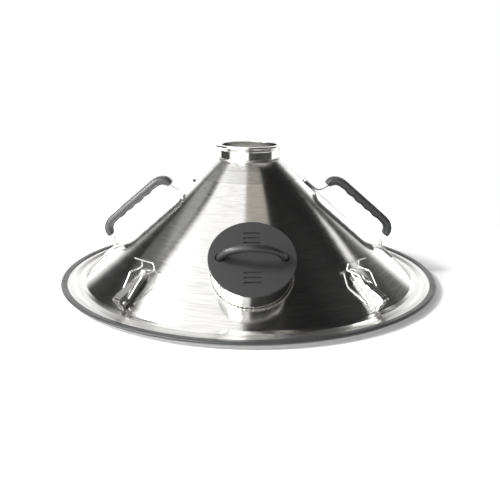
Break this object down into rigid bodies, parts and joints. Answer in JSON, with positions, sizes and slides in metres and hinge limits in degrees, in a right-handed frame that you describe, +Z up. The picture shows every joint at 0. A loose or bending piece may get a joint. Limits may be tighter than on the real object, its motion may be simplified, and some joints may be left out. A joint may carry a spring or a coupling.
{
  "type": "conical kettle hood",
  "caption": "Conical stainless hood that clamps on a round brewing vessel, with a flanged neck, a plugged side port, two gripped handles and toggle latches.",
  "frame": {"origin": "on the cone's axis, in the plane that the locating ring's foot stands on", "axes": "+Z up along the cone's axis, -Y towards the side port, the two handles along X"},
  "size_m": [0.67, 0.67, 0.2405],
  "materials": {
    "brushed_steel": "fine circumferential brushing",
    "polished_steel": "bright, lightly polished stainless",
    "weld_steel": "rippled weld bead, slightly heat tinted",
    "grip_silicone": "satin charcoal silicone",
    "gasket_silicone": "matte grey silicone",
    "plug_rubber": "matte charcoal rubber, the pull smoother"
  },
  "bodies": {
    "hood": {"cone_shell": "brushed_steel", "locating_ring": "polished_steel", "rim_gasket": "gasket_silicone", "neck_ferrule": "polished_steel", "neck_weld_collar": "weld_steel", "port_tube": "polished_steel", "port_weld_bead": "weld_steel", "handle_strap_left": "polished_steel", "handle_strap_right": "polished_steel", "handle_grip_left": "grip_silicone", "handle_grip_right": "grip_silicone", "latch_front_left_base": "polished_steel", "latch_front_left_rivet": "polished_steel", "latch_front_right_base": "polished_steel", "latch_front_right_rivet": "polished_steel", "latch_back_right_base": "polished_steel", "latch_back_right_rivet": "polished_steel", "latch_back_left_base": "polished_steel", "latch_back_left_rivet": "polished_steel"},
    "plug": {"port_plug": "plug_rubber", "plug_pull": "plug_rubber"},
    "lever_front_left": {"latch_front_left_lever": "polished_steel"},
    "bail_front_left": {"latch_front_left_bail": "polished_steel"},
    "lever_front_right": {"latch_front_right_lever": "polished_steel"},
    "bail_front_right": {"latch_front_right_bail": "polished_steel"},
    "lever_back_right": {"latch_back_right_lever": "polished_steel"},
    "bail_back_right": {"latch_back_right_bail": "polished_steel"},
    "lever_back_left": {"latch_back_left_lever": "polished_steel"},
    "bail_back_left": {"latch_back_left_bail": "polished_steel"}
  },
  "joints": [
    {"name": "plug_lift", "type": "slide", "parent": "hood", "child": "plug", "axis": [0, -0.6468, 0.7627], "range_m": [0, 0.08]},
    {"name": "lever_front_left_open", "type": "hinge", "parent": "hood", "child": "lever_front_left", "pos_m": [-0.19732, -0.21235, 0.02427], "axis": [0.7325, -0.6807, 0], "range_deg": [0, 75]},
    {"name": "bail_front_left_swing", "type": "hinge", "parent": "lever_front_left", "child": "bail_front_left", "pos_m": [-0.19235, -0.207, 0.03112], "axis": [0.7325, -0.6807, 0], "range_deg": [0, 80]},
    {"name": "lever_front_right_open", "type": "hinge", "parent": "hood", "child": "lever_front_right", "pos_m": [0.19732, -0.21235, 0.02427], "axis": [0.7325, 0.6807, 0], "range_deg": [0, 75]},
    {"name": "bail_front_right_swing", "type": "hinge", "parent": "lever_front_right", "child": "bail_front_right", "pos_m": [0.19235, -0.207, 0.03112], "axis": [0.7325, 0.6807, 0], "range_deg": [0, 80]},
    {"name": "lever_back_right_open", "type": "hinge", "parent": "hood", "child": "lever_back_right", "pos_m": [0.19732, 0.21235, 0.02427], "axis": [-0.7325, 0.6807, 0], "range_deg": [0, 75]},
    {"name": "bail_back_right_swing", "type": "hinge", "parent": "lever_back_right", "child": "bail_back_right", "pos_m": [0.19235, 0.207, 0.03112], "axis": [-0.7325, 0.6807, 0], "range_deg": [0, 80]},
    {"name": "lever_back_left_open", "type": "hinge", "parent": "hood", "child": "lever_back_left", "pos_m": [-0.19732, 0.21235, 0.02427], "axis": [-0.7325, -0.6807, 0], "range_deg": [0, 75]},
    {"name": "bail_back_left_swing", "type": "hinge", "parent": "lever_back_left", "child": "bail_back_left", "pos_m": [-0.19235, 0.207, 0.03112], "axis": [-0.7325, -0.6807, 0], "range_deg": [0, 80]}
  ]
}
